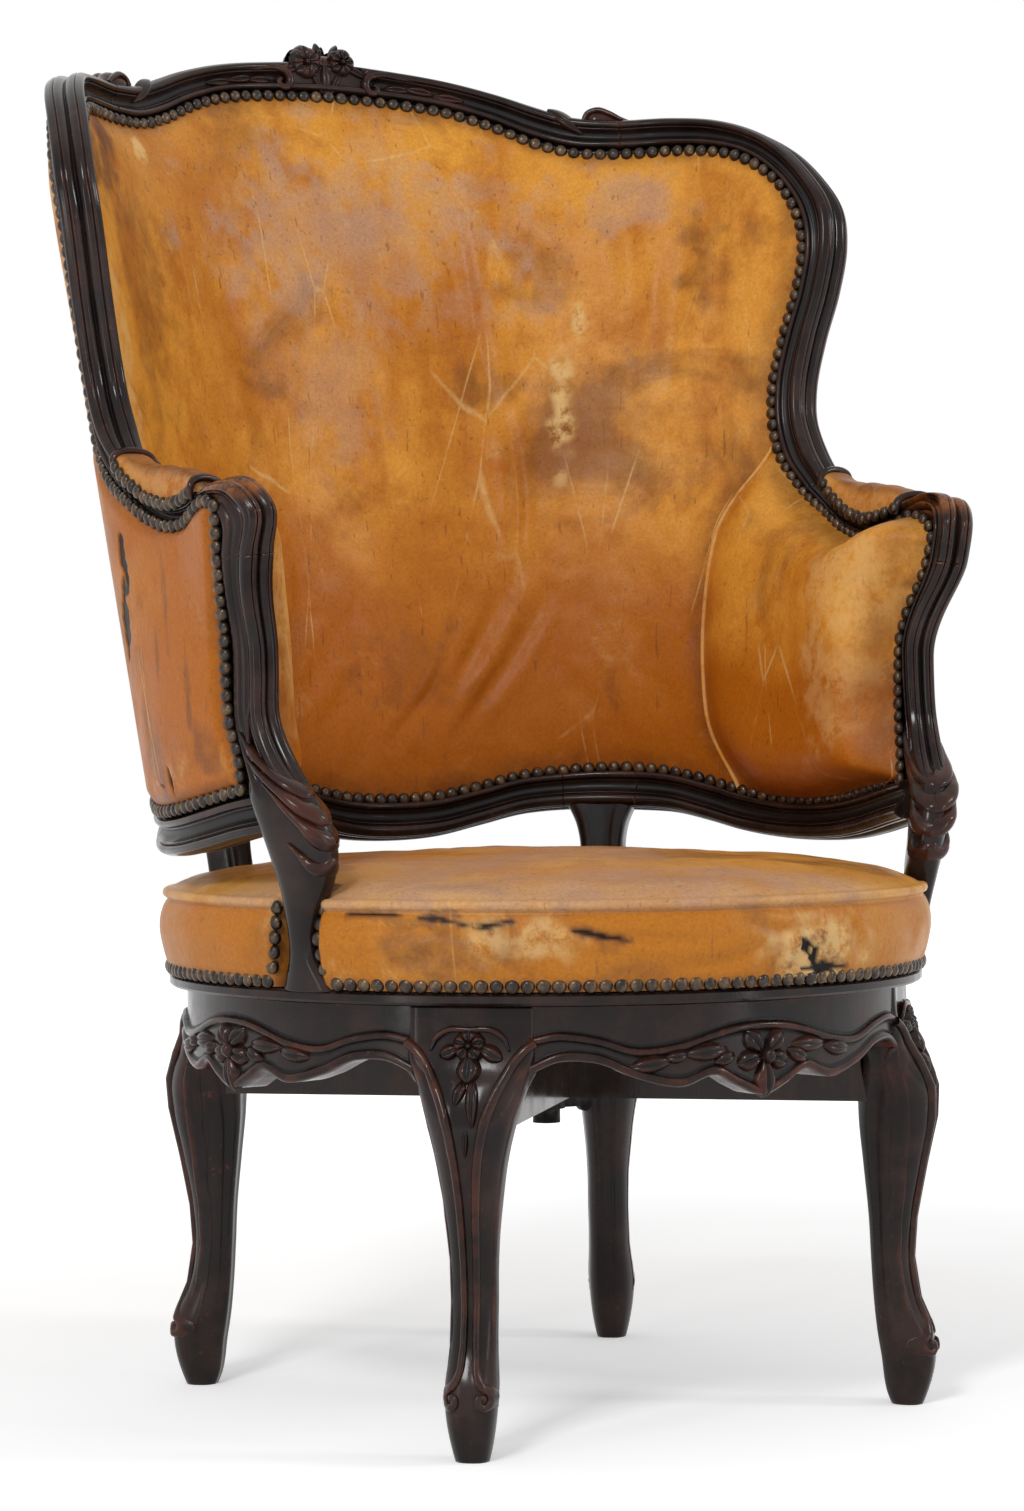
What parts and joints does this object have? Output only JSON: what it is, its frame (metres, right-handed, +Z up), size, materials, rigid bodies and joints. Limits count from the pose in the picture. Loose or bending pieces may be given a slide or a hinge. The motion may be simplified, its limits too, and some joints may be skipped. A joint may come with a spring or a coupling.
{
  "type": "swivel desk armchair",
  "caption": "Wing-backed desk armchair with a round leather seat that turns on a carved base with cabriole legs, padded arms and nailed leather upholstery.",
  "frame": {"origin": "on the floor at the swivel axis", "axes": "+Z up along the swivel axis, the chair faces -Y, +X is towards the right arm seen from the front"},
  "size_m": [0.7286, 0.7572, 1.1469],
  "materials": {
    "carved_wood": "waxed dark stain",
    "bar_wood": "plain dark stain",
    "back_leather": "worn tan leather",
    "seat_leather": "worn pale tan leather",
    "nails": "dark bronzed brass",
    "iron": "black iron",
    "screw_steel": "dull steel",
    "webbing": "jute webbing"
  },
  "bodies": {
    "base": {"leg_front_left": "carved_wood", "leg_front_right": "carved_wood", "leg_rear_right": "carved_wood", "leg_rear_left": "carved_wood", "apron_front": "carved_wood", "apron_right": "carved_wood", "apron_rear": "carved_wood", "apron_left": "carved_wood", "base_bar_long": "bar_wood", "base_bar_short": "bar_wood", "pivot_plate": "iron", "pivot_plate_screws": "screw_steel"},
    "seat": {"crest_rail": "carved_wood", "lower_rail_back": "carved_wood", "wing_right": "carved_wood", "wing_left": "carved_wood", "arm_right": "carved_wood", "arm_left": "carved_wood", "arm_support_right": "carved_wood", "arm_support_left": "carved_wood", "rear_post_right": "carved_wood", "rear_post_left": "carved_wood", "lower_rail_right": "carved_wood", "lower_rail_left": "carved_wood", "seat_rail_front": "carved_wood", "seat_rail_right": "carved_wood", "seat_rail_rear": "carved_wood", "seat_rail_left": "carved_wood", "seat_bar_cross": "bar_wood", "seat_bar_long": "bar_wood", "inside_back": "back_leather", "outside_back": "back_leather", "seat_cushion": "seat_leather", "inside_arm_right": "back_leather", "inside_arm_left": "back_leather", "outside_arm_right": "back_leather", "outside_arm_left": "back_leather", "arm_pad_right": "back_leather", "arm_pad_left": "back_leather", "webbing": "webbing", "spindle": "iron", "spindle_screws": "screw_steel"},
    "nut_washer": {"washer": "iron"},
    "wing_nut": {"wing_nut": "iron"}
  },
  "joints": [
    {"name": "seat_swivel", "type": "hinge", "parent": "base", "child": "seat", "pos_m": [0, 0, 0.285], "axis": [0, 0, 1], "continuous": true},
    {"name": "nut_drop", "type": "slide", "parent": "seat", "child": "nut_washer", "axis": [0, 0, -1], "range_m": [0, 0.005]},
    {"name": "nut_turn", "type": "hinge", "parent": "nut_washer", "child": "wing_nut", "pos_m": [0, 0, 0.232], "axis": [0, 0, -1], "range_deg": [0, 722]}
  ],
  "couplings": [
    {"joint": "nut_turn", "follows": "nut_drop", "rad_per_m": 2513.3}
  ]
}
